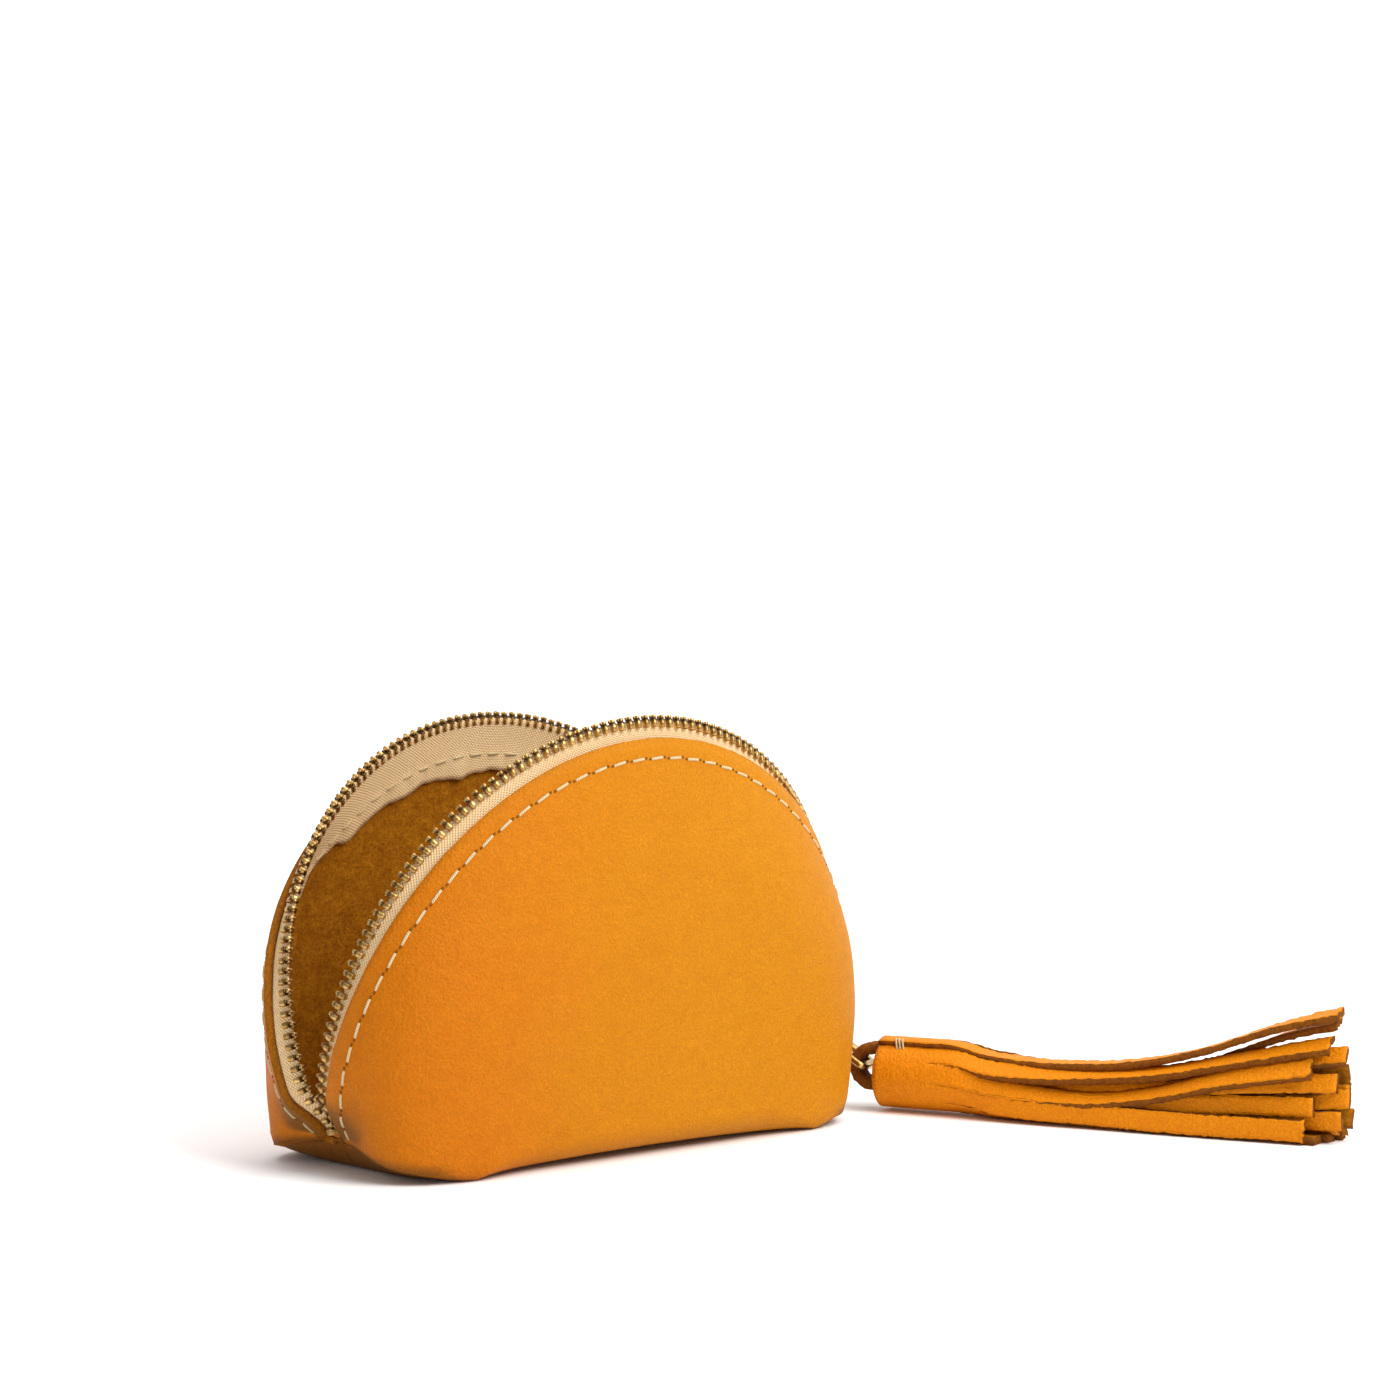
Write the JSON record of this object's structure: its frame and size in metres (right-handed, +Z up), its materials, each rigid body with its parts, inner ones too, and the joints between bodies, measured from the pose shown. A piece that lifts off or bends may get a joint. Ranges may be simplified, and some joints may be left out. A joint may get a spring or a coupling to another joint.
{
  "type": "zippered pouch",
  "caption": "Half-moon leather pouch with a boxed flat base, a metal zip over its arched mouth and a fringed leather tassel on the slider.",
  "frame": {"origin": "middle of the flat base, on the surface that the pouch stands on", "axes": "+Z up; +X along the pouch towards the end where the tassel lies; -Y towards the front side, +Y towards the back side"},
  "size_m": [0.2426, 0.1856, 0.1153],
  "materials": {
    "leather": "satin",
    "tassel_leather": "satin",
    "zip_tape": "woven",
    "zip_brass": "antique",
    "slider_brass": "polished",
    "thread": "waxed"
  },
  "bodies": {
    "base": {"leather_base": "leather", "bottom_stop": "zip_brass", "end_stitch_left": "thread", "end_stitch_right": "thread"},
    "front_side": {"leather_front": "leather", "tape_front": "zip_tape", "teeth_front": "zip_brass", "top_stop_front": "zip_brass", "topstitch_front": "thread"},
    "back_side": {"leather_back": "leather", "tape_back": "zip_tape", "teeth_back": "zip_brass", "top_stop_back": "zip_brass", "topstitch_back": "thread"},
    "slider": {"slider_body": "slider_brass", "slider_bridge": "slider_brass", "lock_spring": "slider_brass"},
    "puller": {"puller_bail": "slider_brass"},
    "tassel": {"tassel_loop": "tassel_leather", "tassel_head": "tassel_leather", "tassel_thread": "thread", "fringe_near": "tassel_leather", "fringe_middle": "tassel_leather", "fringe_far": "tassel_leather"}
  },
  "joints": [
    {"name": "slider_travel", "type": "hinge", "parent": "base", "child": "slider", "pos_m": [0, 0, 0.035], "axis": [0, -1, 0], "range_deg": [0, 193.53]},
    {"name": "mouth_front", "type": "hinge", "parent": "base", "child": "front_side", "pos_m": [0, 0, 0.015], "axis": [-1, 0, 0], "range_deg": [0, 18.5], "deforming": ["teeth_front", "tape_front"]},
    {"name": "mouth_back", "type": "hinge", "parent": "base", "child": "back_side", "pos_m": [0, 0, 0.015], "axis": [1, 0, 0], "range_deg": [0, 18.5], "deforming": ["teeth_back", "tape_back"]},
    {"name": "puller_swing", "type": "hinge", "parent": "slider", "child": "puller", "pos_m": [0.09344, 0, 0.02391], "axis": [0.9397, 0.342, 0], "range_deg": [-60, 0]},
    {"name": "tassel_swing", "type": "hinge", "parent": "puller", "child": "tassel", "pos_m": [0.09931, -0.01613, 0.01234], "axis": [0.9397, 0.342, 0], "range_deg": [-60, 0]}
  ],
  "couplings": [
    {"joint": "mouth_front", "follows": "slider_travel", "ratio": 0.09558},
    {"joint": "mouth_back", "follows": "slider_travel", "ratio": 0.09558}
  ]
}
